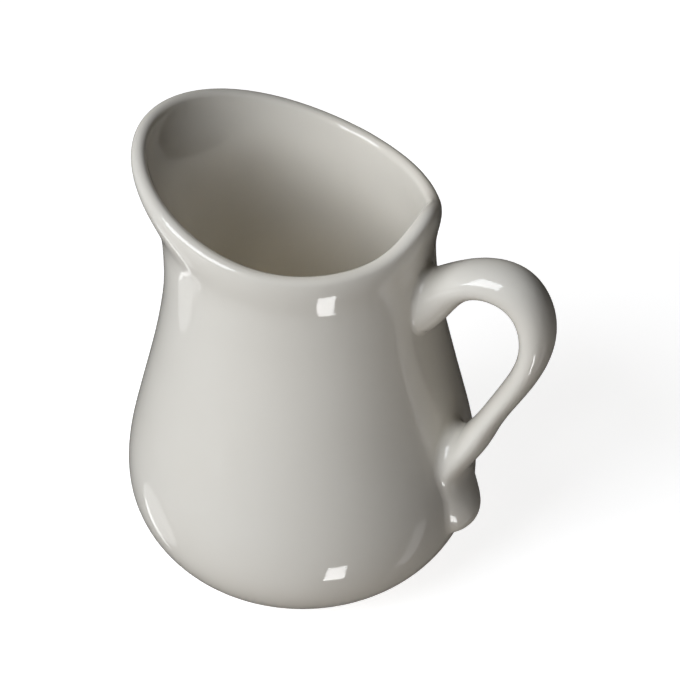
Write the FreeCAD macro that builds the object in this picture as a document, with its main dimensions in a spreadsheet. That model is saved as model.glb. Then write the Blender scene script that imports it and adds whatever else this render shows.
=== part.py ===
# Porcelain creamer: a pear-shaped jug with a pulled spout, a saddle-shaped rim and an ear handle, cast and
# fired in one piece. Millimetres. The body's axis is Z, the foot stands on z = 0, the handle is on +X and
# the spout on -X.
import FreeCAD, Part
import math
import os
import Sketcher

doc = FreeCAD.newDocument("creamer")

# ---------------------------------------------------------------- driving dimensions
SIZES = [
    ("belly_radius", 36.3, "widest half width of the bulb"),
    ("belly_height", 20, "height of the widest place"),
    ("heel_round", 21.8, "outer rounding from the belly down to the foot"),
    ("neck_radius", 26.5, "narrowest half width under the rim"),
    ("neck_height", 77, "height of the neck"),
    ("low_flank", 0.785, "share of the bulb's extra width left a quarter of the way up to the neck"),
    ("high_flank", 0.215, "share of it left two thirds of the way up"),
    ("mouth_radius", 29, "half width at the level of the spout's tip"),
    ("rim_height", 89.5, "mean height of the rim"),
    ("rim_tilt", 4.9, "how much the spout side rises and the handle side falls"),
    ("rim_saddle", 2.4, "how much the ends rise and the sides fall"),
    ("peak_rise", 5.0, "extra rise of the point over the handle"),
    ("peak_spread", 14.5, "half width of that point round the axis, degrees"),
    ("spout_reach", 3.3, "how far the spout leans out, at rim_height"),
    ("spout_start", 51, "height where the spout and the egg shape begin"),
    ("egg", 0.095, "fuller towards the spout, narrower towards the handle"),
    ("wall", 3, "thickness of the wall"),
    ("floor_thickness", 4, "thickness of the floor above the foot plane"),
    ("foot_radius", 24.5, "outer half width of the foot ring"),
    ("foot_width", 3.5, "width of the foot ring"),
    ("foot_height", 1.5, "height of the foot ring"),
    ("foot_round", 0.6, "rounding of the ring's lower edges"),
    ("handle_width", 10, "width of the handle across the body's side"),
    ("handle_reach", 16.7, "how far the handle stands out past the belly"),
    ("crown_height", 83.4, "top of the handle"),
    ("tail_height", 23, "middle of the swelling where the handle ends on the bulb"),
    ("root_round", 1.2, "rounding where the handle's upper end meets the neck"),
    ("tail_round", 2, "rounding where its lower end meets the bulb"),
]

sheet = doc.addObject("Spreadsheet::Sheet", "Sizes")


def put(alias, value, meaning):
    """Write one named size into the next row of the sheet."""
    row = 1
    while sheet.getContents("A%d" % row):
        row += 1
    sheet.set("A%d" % row, alias)
    sheet.set("B%d" % row, str(value))
    sheet.set("C%d" % row, meaning)
    sheet.setAlias("B%d" % row, alias)
    sheet.recompute()


def size(alias):
    """Read one named size from the sheet."""
    return float(sheet.get(alias))


for alias, value, meaning in SIZES:
    put(alias, value, meaning)


# ---------------------------------------------------------------- the vessel's wall
RING_POINTS = 40


belly_height = size("belly_height")
spout_top = size("rim_height") + size("rim_tilt") + size("rim_saddle")
outer_centre = size("belly_radius") - size("heel_round")



def flank_point(way_up, width_left):
    """A point of the flank, at a share of the way up to the neck, with a share of the bulb's extra width."""
    radius = size("neck_radius") + width_left * (size("belly_radius") - size("neck_radius"))
    return FreeCAD.Vector(radius, 0, belly_height + way_up * (size("neck_height") - belly_height))


# The half width above the belly: upright at the belly and leaning a little out at the mouth.
flank = Part.BSplineCurve()
flank.interpolate(
    Points=[
        flank_point(0, 1),
        flank_point(1 / 4, size("low_flank")),
        flank_point(2 / 3, size("high_flank")),
        flank_point(1, 0),
        FreeCAD.Vector(size("mouth_radius"), 0, spout_top),
    ],
    InitialTangent=FreeCAD.Vector(0, 0, 1),
    FinalTangent=FreeCAD.Vector(0.2, 0, 1),
)


def outer_radius(height):
    """Half width of the round body at a height: the heel's arc below the belly, the flank above it."""
    if height < belly_height:
        return outer_centre + math.sqrt(size("heel_round") ** 2 - (belly_height - height) ** 2)
    level = Part.Plane(FreeCAD.Vector(0, 0, height), FreeCAD.Vector(0, 0, 1))
    return flank.intersect(level)[0][0].X


def rim_level(angle):
    """Height of the rim's crest at an angle round the axis, 0 at the handle."""
    from_handle = abs((angle + math.pi) % (2 * math.pi) - math.pi)
    spread = math.radians(size("peak_spread"))
    peak = size("peak_rise") * math.exp(-0.5 * (from_handle / spread) ** 2)
    wave = size("rim_saddle") * math.cos(2 * angle) - size("rim_tilt") * math.cos(angle)
    return size("rim_height") + wave + peak


def wall_point(angle, height, radius, inward=0.0):
    """A point of the wall: the round body's radius, drawn out to the spout and the egg shape higher up."""
    rise = max(0.0, (height - size("spout_start")) / (size("rim_height") - size("spout_start")))
    along = math.cos(angle)
    across = math.sin(angle)
    lean = size("spout_reach") * rise ** 3.5 if along < 0 else 0.0
    x = (radius + lean - inward) * along
    y = (radius - inward) * across * (1 - size("egg") * rise * along)
    return FreeCAD.Vector(x, y, height)


def ring(point_at, level):
    """A closed curve round the axis, with its seam on the far side; point_at gives a point for an angle."""
    steps = [2 * math.pi * n / RING_POINTS for n in range(RING_POINTS)]
    points = [point_at(math.pi / 2 + step, level) for step in steps]
    curve = Part.BSplineCurve()
    curve.interpolate(Points=points, PeriodicFlag=True, Parameters=steps + [2 * math.pi])
    return Part.Wire([curve.toShape()])


def heel_ring(turn, centre_radius, centre_height, round_radius):
    """A round ring of the heel's arc; turn is 0 at the belly and grows towards the foot, in degrees."""
    radius = centre_radius + round_radius * math.cos(math.radians(turn))
    height = centre_height - round_radius * math.sin(math.radians(turn))
    return ring(lambda angle, level: wall_point(angle, level, radius), height)


def side_point(share, inward):
    """Point maker for the wall between the belly and the lip, at a share of the way up."""
    def point_at(angle, level):
        lip_centre = rim_level(angle) - size("wall") / 2
        low = size("belly_height")
        straight = low + share * (size("rim_height") - low)
        follow = low + share * (lip_centre - low)
        height = straight + (follow - straight) * share ** 2
        return wall_point(angle, height, outer_radius(height), inward)
    return point_at


def lip_point(turn):
    """Point maker for the rounded lip; turn runs from 0 outside over 90 on the crest to 180 inside."""
    def point_at(angle, level):
        half = size("wall") / 2
        centre_height = rim_level(angle) - half
        inward = half - half * math.cos(math.radians(turn))
        point = wall_point(angle, centre_height, outer_radius(centre_height), inward)
        point.z += half * math.sin(math.radians(turn))
        return point
    return point_at


inner_round = belly_height - size("floor_thickness")
inner_centre = size("belly_radius") - size("wall") - inner_round
base_turn = math.degrees(math.asin((belly_height - size("foot_height")) / size("heel_round")))

HEEL_STEPS = 5
SIDE_STEPS = 9
LIP_STEPS = 6

rings = []
for step in range(HEEL_STEPS):
    turn = base_turn * (1 - step / HEEL_STEPS)
    rings.append(heel_ring(turn, outer_centre, belly_height, size("heel_round")))
for step in range(SIDE_STEPS):
    rings.append(ring(side_point(step / SIDE_STEPS, 0.0), 0))
for step in range(LIP_STEPS + 1):
    rings.append(ring(lip_point(180 * step / LIP_STEPS), 0))
for step in range(SIDE_STEPS - 1, -1, -1):
    rings.append(ring(side_point(step / SIDE_STEPS, size("wall")), 0))
for step in range(1, HEEL_STEPS + 1):
    rings.append(heel_ring(88 * step / HEEL_STEPS, inner_centre, belly_height, inner_round))

skin = Part.makeLoft(rings, False, False)
under = Part.Face(rings[0])
floor = Part.Face(rings[-1])
shell = Part.Shell(skin.Faces + [under, floor])
vessel_solid = Part.Solid(shell)
if vessel_solid.Volume < 0:
    vessel_solid.reverse()

vessel = doc.addObject("Part::Feature", "vessel_wall")
vessel.Label = "vessel_wall"
vessel.Shape = vessel_solid


# ---------------------------------------------------------------- the foot ring
def foot_sketch(body):
    """Cross-section of the foot ring, on the body's XZ plane."""
    plane = [item for item in body.Origin.OriginFeatures if item.Role == "XZ_Plane"][0]
    sketch = body.newObject("Sketcher::SketchObject", "foot_section")
    sketch.AttachmentSupport = [(plane, "")]
    sketch.MapMode = "FlatFace"
    sunk = size("foot_height") + size("floor_thickness") / 4
    inner = size("foot_radius") - size("foot_width")
    corners = [(inner, 0), (size("foot_radius"), 0), (size("foot_radius"), sunk), (inner, sunk)]
    for number, (x, y) in enumerate(corners):
        end_x, end_y = corners[(number + 1) % 4]
        sketch.addGeometry(Part.LineSegment(FreeCAD.Vector(x, y, 0), FreeCAD.Vector(end_x, end_y, 0)))
    for number in range(4):
        sketch.addConstraint(Sketcher.Constraint("Coincident", number, 2, (number + 1) % 4, 1))
        sketch.addConstraint(Sketcher.Constraint("Horizontal" if number % 2 == 0 else "Vertical", number))
    sketch.addConstraint(Sketcher.Constraint("PointOnObject", 0, 1, -1))
    reach = sketch.addConstraint(Sketcher.Constraint("DistanceX", -1, 1, 0, 2, size("foot_radius")))
    width = sketch.addConstraint(Sketcher.Constraint("DistanceX", 0, 1, 0, 2, size("foot_width")))
    depth = sketch.addConstraint(Sketcher.Constraint("DistanceY", 1, 1, 1, 2, sunk))
    sketch.setExpression("Constraints[%d]" % reach, "Sizes.foot_radius")
    sketch.setExpression("Constraints[%d]" % width, "Sizes.foot_width")
    sketch.setExpression("Constraints[%d]" % depth, "Sizes.foot_height + Sizes.floor_thickness / 4")
    return sketch


foot = doc.addObject("PartDesign::Body", "foot_ring")
foot.Label = "foot_ring"
foot_profile = foot_sketch(foot)
foot_turned = foot.newObject("PartDesign::Revolution", "foot_turned")
foot_turned.Profile = foot_profile
foot_turned.ReferenceAxis = (foot_profile, ["V_Axis"])
foot_turned.Angle = 360
doc.recompute()
low_edges = []
for number, edge in enumerate(foot_turned.Shape.Edges, start=1):
    if edge.BoundBox.ZMax < 0.001:
        low_edges.append("Edge%d" % number)
foot_rounded = foot.newObject("PartDesign::Fillet", "foot_rounded")
foot_rounded.Base = (foot_turned, low_edges)
foot_rounded.setExpression("Radius", "Sizes.foot_round")

# ---------------------------------------------------------------- the handle
# Each station of the handle is an oval across its path: its name, how far it lies out from the wall as a share of
# the way to the handle's reach, how deep it is sunk besides, how far up it lies as a share of the way from the
# tail to the crown, its thickness in the handle's own plane, and its width as a share of handle_width.
STATIONS = [
    ("root", 0, 3.2, 0.755, 11, 1.3),
    ("shoulder", 0.19, 0, 0.875, 8.2, 1.0),
    ("crown", 0.465, 0, 0.94, 7.4, 1.0),
    ("corner", 0.736, 0, 0.92, 8.4, 1.0),
    ("turn", 0.857, 0, 0.844, 7.4, 1.0),
    ("side", 0.88, 0, 0.72, 6.2, 1.0),
    ("bend", 0.753, 0, 0.568, 5.2, 1.0),
    ("strut", 0.522, 0, 0.414, 4.9, 1.0),
    ("ankle", 0.26, 0, 0.272, 6.2, 1.2),
    ("heel", 0, 0.5, 0.145, 6.6, 1.4),
    ("tail", 0, 1.6, 0, 9.2, 1.3),
    ("tip", 0, 6.5, -0.12, 7.4, 1),
]

ovals = []
for name, outward, sunk, upward, thickness, share in STATIONS:
    height = size("tail_height") + upward * (size("crown_height") - size("tail_height"))
    put(name + "_wall", outer_radius(height), "half width of the wall at the handle's %s" % name)
    put(name + "_thickness", thickness, "thickness of the handle at its %s" % name)
    reach = "(Sizes.belly_radius + Sizes.handle_reach - Sizes.%s_wall)" % name
    rise = "(Sizes.crown_height - Sizes.tail_height)"
    oval = doc.addObject("Part::Ellipse", "handle_" + name)
    oval.setExpression("MajorRadius", "Sizes.handle_width / 2 * %g" % share)
    oval.setExpression("MinorRadius", "Sizes.%s_thickness / 2" % name)
    oval.setExpression("Placement.Base.x", "Sizes.%s_wall + %g * %s - %g" % (name, outward, reach, sunk))
    oval.setExpression("Placement.Base.z", "Sizes.tail_height + (%g) * %s" % (upward, rise))
    ovals.append(oval)
doc.recompute()

handle_path = Part.BSplineCurve()
leaving = FreeCAD.Vector(1, 0, 0.6)
arriving = FreeCAD.Vector(-0.8, 0, -0.6)
handle_path.interpolate(
    Points=[oval.Placement.Base for oval in ovals],
    InitialTangent=leaving,
    FinalTangent=arriving,
)
for oval in ovals:
    tangent = handle_path.tangent(handle_path.parameter(oval.Placement.Base))[0]
    lean = math.degrees(math.atan2(tangent.x, tangent.z))
    across = FreeCAD.Rotation(FreeCAD.Vector(0, 0, 1), 90)
    oval.Placement.Rotation = FreeCAD.Rotation(FreeCAD.Vector(0, 1, 0), lean) * across

handle = doc.addObject("Part::Loft", "handle_bar")
handle.Label = "handle_bar"
handle.Sections = ovals
handle.Solid = True
handle.Ruled = False

# The handle stops in the middle of the wall, so that nothing of it shows inside.
core_levels = []
for step in range(HEEL_STEPS):
    turn = base_turn * (1 - step / HEEL_STEPS)
    core_levels.append(heel_ring(turn, outer_centre, belly_height, size("heel_round") - size("wall") / 2))
core_top = min(rim_level(math.radians(angle)) for angle in range(0, 181, 5)) - size("wall")
for step in range(SIDE_STEPS + 1):
    level = belly_height + step * (core_top - belly_height) / SIDE_STEPS
    radius = outer_radius(level)
    core_levels.append(ring(lambda angle, z: wall_point(angle, z, radius, size("wall") / 2), level))
core = doc.addObject("Part::Feature", "wall_middle")
core.Shape = Part.makeLoft(core_levels, True, False)

trimmed = doc.addObject("Part::Cut", "handle_trimmed")
trimmed.Base = handle
trimmed.Tool = core

# ---------------------------------------------------------------- one piece of porcelain
joined = doc.addObject("Part::MultiFuse", "joined")
joined.Shapes = [vessel, foot, trimmed]
doc.recompute()


def meeting_edges(shape, low, high):
    """Numbers of the edges between two heights that lie only where the handle meets the wall."""
    nearest = size("neck_radius") - 2 * size("wall")
    furthest = size("belly_radius") + size("wall") / 2
    numbers = []
    for number, edge in enumerate(shape.Edges, start=1):
        box = edge.BoundBox
        if box.XMin > nearest and box.XMax < furthest and box.ZMin > low and box.ZMax < high:
            numbers.append(number)
    return numbers


waist = (size("crown_height") + size("belly_height")) / 2
root_edges = meeting_edges(joined.Shape, waist, size("crown_height"))
tail_edges = meeting_edges(joined.Shape, size("foot_height") + 1, waist)
creamer = doc.addObject("Part::Fillet", "creamer")
creamer.Label = "creamer"
creamer.Base = joined
creamer.Edges = (
    [(number, size("root_round"), size("root_round")) for number in root_edges]
    + [(number, size("tail_round"), size("tail_round")) for number in tail_edges]
)
doc.recompute()

# ---------------------------------------------------------------- checks and export
for item in doc.Objects:
    if "Invalid" in item.State or "Error" in item.State:
        raise RuntimeError("%s failed: %s" % (item.Name, item.State))
for item in (vessel, foot, handle, creamer):
    if item.Shape.isNull() or not item.Shape.isValid():
        raise RuntimeError(item.Name + " has no valid shape")
if len(creamer.Shape.Solids) != 1:
    raise RuntimeError("the creamer is not one solid")
if not root_edges or not tail_edges:
    raise RuntimeError("the handle does not meet the wall at both ends")

os.makedirs("parts", exist_ok=True)
creamer.Shape.Solids[0].exportStep("parts/%s.step" % creamer.Label)
box = creamer.Shape.optimalBoundingBox()
print("creamer %.1f x %.1f x %.1f mm" % (box.XLength, box.YLength, box.ZLength))
print("porcelain %.1f cm3" % (creamer.Shape.Volume / 1000))
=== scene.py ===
import math

import bpy
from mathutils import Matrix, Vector

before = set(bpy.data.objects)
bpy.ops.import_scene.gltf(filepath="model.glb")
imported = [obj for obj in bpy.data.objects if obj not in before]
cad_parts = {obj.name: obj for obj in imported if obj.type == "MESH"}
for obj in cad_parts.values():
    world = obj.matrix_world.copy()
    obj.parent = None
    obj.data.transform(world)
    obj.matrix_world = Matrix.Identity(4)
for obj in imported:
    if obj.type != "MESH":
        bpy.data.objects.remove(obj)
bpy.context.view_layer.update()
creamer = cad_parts["creamer"]
scene = bpy.context.scene

BARE_TOP = 0.00035          # the glaze starts this far above the foot ring's face, m
BARE_BLUR = 0.0001          # half the height over which glaze turns to bare clay
FLOOR_SIZE = 6.0
FLOOR_Z = -0.0002           # just below the foot's face, so that the two don't flicker
FLOOR_GLOW = 0.84           # how white the floor's shade is, near the creamer
WHITE_FROM, WHITE_AT = 0.3, 0.7     # distances between which the floor turns all white, m
AIM = Vector((0, 0, 0.05))  # what the lamps look at


# ---------------------------------------------------------------- node helpers
def new_tree(owner):
    """The owner's node tree, with everything taken out of it."""
    owner.use_nodes = True
    owner.node_tree.nodes.clear()
    return owner.node_tree


def node(tree, kind, **inputs):
    """A node with some of its inputs set to plain values or fed by links."""
    made = tree.nodes.new(kind)
    for name, value in inputs.items():
        socket = made.inputs[name]
        if isinstance(value, bpy.types.NodeSocket):
            tree.links.new(value, socket)
        else:
            socket.default_value = value
    return made


def noise(tree, where, scale, detail=2.0):
    return node(tree, "ShaderNodeTexNoise", Vector=where, Scale=scale, Detail=detail).outputs["Fac"]


def spread(tree, fac, low, high, to_low, to_high):
    """Maps low to high onto to_low to to_high, and stops at both ends."""
    made = node(tree, "ShaderNodeMapRange", Value=fac)
    limits = {"From Min": low, "From Max": high, "To Min": to_low, "To Max": to_high}
    for name, value in limits.items():
        made.inputs[name].default_value = value
    return made.outputs["Result"]


def maths(tree, operation, a, b):
    """The result of a sum on a link and either a number or another link."""
    made = tree.nodes.new("ShaderNodeMath")
    made.operation = operation
    for socket, value in zip(made.inputs, (a, b)):
        if isinstance(value, float):
            socket.default_value = value
        else:
            tree.links.new(value, socket)
    return made.outputs[0]


def blend(tree, fac, a, b, kind="RGBA"):
    """a where fac is 0 and b where it is 1, for colours or, as kind FLOAT, for numbers."""
    made = tree.nodes.new("ShaderNodeMix")
    made.data_type = kind
    tree.links.new(fac, made.inputs["Factor"])
    first = 6 if kind == "RGBA" else 2
    for socket, value in zip(made.inputs[first:first + 2], (a, b)):
        if isinstance(value, bpy.types.NodeSocket):
            tree.links.new(value, socket)
        else:
            socket.default_value = value
    return made.outputs[2 if kind == "RGBA" else 0]


# ---------------------------------------------------------------- porcelain
def bare_foot(tree, where):
    """1 on the foot ring's face and 0 on the glaze, along a slightly uneven line."""
    height = node(tree, "ShaderNodeSeparateXYZ", Vector=where).outputs["Z"]
    waver = spread(tree, noise(tree, where, 260.0), 0.3, 0.7, -0.0001, 0.0001)
    height = maths(tree, "ADD", height, waver)
    return spread(tree, height, BARE_TOP - BARE_BLUR, BARE_TOP + BARE_BLUR, 1.0, 0.0)


def specks(tree, where):
    """A few pin-point specks of about a quarter of a millimetre: one in some of the cells."""
    cells = node(tree, "ShaderNodeTexVoronoi", Vector=where, Scale=75.0)
    dot = spread(tree, cells.outputs["Distance"], 0.010, 0.022, 0.65, 0.0)
    pick = node(tree, "ShaderNodeSeparateColor", Color=cells.outputs["Color"]).outputs["Red"]
    return maths(tree, "MULTIPLY", dot, maths(tree, "LESS_THAN", pick, 0.22))


def bump(tree, height, strength, distance, under=None):
    """Relief of this height on top of the relief under it."""
    made = node(tree, "ShaderNodeBump", Height=height, Strength=strength, Distance=distance)
    if under is not None:
        tree.links.new(under, made.inputs["Normal"])
    return made.outputs[0]


def glazed_porcelain():
    """White porcelain under clear glaze; the face that the foot ring stands on is bare."""
    mat = bpy.data.materials.new("glazed_porcelain")
    tree = new_tree(mat)
    out = tree.nodes.new("ShaderNodeOutputMaterial")
    bsdf = tree.nodes.new("ShaderNodeBsdfPrincipled")
    tree.links.new(bsdf.outputs[0], out.inputs["Surface"])
    where = tree.nodes.new("ShaderNodeTexCoord").outputs["Object"]
    bare = bare_foot(tree, where)
    grit = spread(tree, noise(tree, where, 1800.0), 0.35, 0.65, 0.0, 1.0)

    # colour: faint clouds where the glaze lies thicker, a few specks, and the bare clay
    cloud = spread(tree, noise(tree, where, 28.0, 3.0), 0.3, 0.7, 0.0, 1.0)
    colour = blend(tree, cloud, (0.768, 0.733, 0.662, 1), (0.788, 0.757, 0.690, 1))
    colour = blend(tree, specks(tree, where), colour, (0.30, 0.25, 0.19, 1))
    biscuit = blend(tree, grit, (0.62, 0.57, 0.48, 1), (0.74, 0.70, 0.61, 1))
    tree.links.new(blend(tree, bare, colour, biscuit), bsdf.inputs["Base Color"])

    # gloss: clear glaze with slightly duller patches, and the dull clay
    gloss = spread(tree, noise(tree, where, 90.0, 4.0), 0.3, 0.7, 0.045, 0.095)
    tree.links.new(blend(tree, bare, gloss, 0.72, "FLOAT"), bsdf.inputs["Roughness"])
    bsdf.inputs["IOR"].default_value = 1.52

    # relief: long ripples and fine dimples in the glaze, and grain on the clay
    relief = bump(tree, noise(tree, where, 55.0, 1.0), 0.25, 0.00025)
    relief = bump(tree, noise(tree, where, 700.0, 1.0), 0.25, 0.00001, relief)
    relief = bump(tree, grit, bare, 0.00006, relief)
    tree.links.new(relief, bsdf.inputs["Normal"])
    return mat


creamer.data.materials.clear()
creamer.data.materials.append(glazed_porcelain())


# ---------------------------------------------------------------- floor and world
def floor_material():
    """Pale and matt, with a glow for the camera only, so that just the shadow shows."""
    mat = bpy.data.materials.new("floor")
    tree = new_tree(mat)
    out = tree.nodes.new("ShaderNodeOutputMaterial")
    plain = node(tree, "ShaderNodeBsdfDiffuse", Color=(0.5, 0.5, 0.5, 1))
    glow = node(tree, "ShaderNodeEmission", Color=(1, 1, 1, 1))
    reach = tree.nodes.new("ShaderNodeVectorMath")
    reach.operation = "LENGTH"
    tree.links.new(tree.nodes.new("ShaderNodeTexCoord").outputs["Object"], reach.inputs[0])
    lift = spread(tree, reach.outputs["Value"], WHITE_FROM, WHITE_AT, FLOOR_GLOW, 1.0)
    seen = tree.nodes.new("ShaderNodeLightPath").outputs["Is Camera Ray"]
    tree.links.new(maths(tree, "MULTIPLY", seen, lift), glow.inputs["Strength"])
    both = tree.nodes.new("ShaderNodeAddShader")
    tree.links.new(plain.outputs[0], both.inputs[0])
    tree.links.new(glow.outputs[0], both.inputs[1])
    tree.links.new(both.outputs[0], out.inputs["Surface"])
    return mat


def floor():
    """A plain floor that takes the shadow, and neither shows in the glaze nor hides a low lamp."""
    r = FLOOR_SIZE / 2
    corners = [(x, y, FLOOR_Z) for x, y in ((-r, -r), (r, -r), (r, r), (-r, r))]
    mesh = bpy.data.meshes.new("floor")
    mesh.from_pydata(corners, [], [(0, 1, 2, 3)])
    mesh.materials.append(floor_material())
    obj = bpy.data.objects.new("floor", mesh)
    scene.collection.objects.link(obj)
    obj.visible_glossy = False
    obj.visible_shadow = False


def studio():
    """A dim warm room round the creamer, which the camera sees as white."""
    world = bpy.data.worlds.new("studio")
    tree = new_tree(world)
    out = tree.nodes.new("ShaderNodeOutputWorld")
    dim = node(tree, "ShaderNodeBackground", Color=(1.0, 0.85, 0.72, 1), Strength=0.025)
    white = node(tree, "ShaderNodeBackground", Color=(1, 1, 1, 1), Strength=1.0)
    seen = tree.nodes.new("ShaderNodeLightPath").outputs["Is Camera Ray"]
    mix = tree.nodes.new("ShaderNodeMixShader")
    for socket, link in zip(mix.inputs, (seen, dim.outputs[0], white.outputs[0])):
        tree.links.new(link, socket)
    tree.links.new(mix.outputs[0], out.inputs["Surface"])
    return world


floor()
scene.world = studio()


# ---------------------------------------------------------------- lamps
def lamp(name, azimuth, elevation, distance, width, height, radiance,
         colour=(1, 1, 1), body=True, gloss=True, shape="RECTANGLE"):
    """A soft box that looks at the creamer from azimuth, counted from +X, and elevation.

    body says whether it lights the matt body, and gloss whether it shows in the glaze.
    """
    light = bpy.data.lights.new(name, "AREA")
    light.shape = shape
    light.size, light.size_y = width, height
    area = width * height * (math.pi / 4 if shape == "ELLIPSE" else 1.0)
    light.energy = radiance * math.pi * area
    light.color = colour
    # fills are sampled directly and only so, because the floor hides low lamps from stray rays
    light.cycles.use_multiple_importance_sampling = gloss
    obj = bpy.data.objects.new(name, light)
    scene.collection.objects.link(obj)
    a, e = math.radians(azimuth), math.radians(elevation)
    direction = Vector((math.cos(a) * math.cos(e), math.sin(a) * math.cos(e), math.sin(e)))
    obj.location = AIM + direction * distance
    obj.rotation_mode = "QUATERNION"
    obj.rotation_quaternion = direction.to_track_quat("Z", "Y")
    obj.visible_camera = False
    obj.visible_diffuse, obj.visible_glossy = body, gloss


def mouth_spot():
    """Light that falls down the mouth, as from a ceiling, on the inside only."""
    light = bpy.data.lights.new("mouth_spot", "SPOT")
    light.energy = 15.0
    light.color = (1.0, 0.93, 0.78)
    light.spot_size = math.radians(3.3)
    light.spot_blend = 0.5
    light.shadow_soft_size = 0.01
    obj = bpy.data.objects.new("mouth_spot", light)
    scene.collection.objects.link(obj)
    obj.location = (0, 0, 0.85)
    obj.visible_glossy = False


# the light itself, and what fills the shade
lamp("key", -117, 37, 1.3, 0.85, 0.85, 7.15, (0.965, 1.0, 1.05))
lamp("low_fill", -50, -60, 1.0, 1.0, 1.0, 0.8, (1.0, 0.9, 0.8), gloss=False)
lamp("left_fill", 178, -35, 1.0, 0.8, 0.6, 0.35, gloss=False)
lamp("back_fill", 128, -2, 1.0, 1.0, 1.0, 1.7, (1.0, 0.97, 0.92), gloss=False)

# windows and pale things that only the glaze shows
lamp("window", -42, -45.5, 1.5, 0.25, 0.33, 9.0, body=False)
lamp("left_window", 176, -46, 1.5, 0.12, 0.42, 1.7, body=False, shape="ELLIPSE")
lamp("left_sheen", -172, -41, 1.5, 0.62, 0.50, 0.75, body=False, shape="ELLIPSE")
lamp("right_glow", 13, -42, 1.5, 0.22, 0.6, 0.7, body=False)
lamp("far_glow", -124, -14, 1.5, 0.30, 0.14, 2.0, body=False)

mouth_spot()


# ---------------------------------------------------------------- camera
def camera():
    """At the photograph's angle: from this azimuth, counted from -Y towards +X, and above."""
    azimuth, elevation, distance = math.radians(26.0), math.radians(39.4), 0.53087
    back = Vector((math.sin(azimuth) * math.cos(elevation),
                   -math.cos(azimuth) * math.cos(elevation),
                   math.sin(elevation)))
    data = bpy.data.cameras.new("camera")
    data.sensor_width = 36.0
    data.lens = 137.985
    data.shift_x, data.shift_y = 0.05531, 0.03491
    data.clip_start, data.clip_end = 0.05, 20.0
    obj = bpy.data.objects.new("camera", data)
    scene.collection.objects.link(obj)
    obj.location = Vector((0, 0, 0.045)) + back * distance
    obj.rotation_mode = "QUATERNION"
    obj.rotation_quaternion = back.to_track_quat("Z", "Y")
    return obj


scene.camera = camera()
scene.view_settings.view_transform = "Standard"
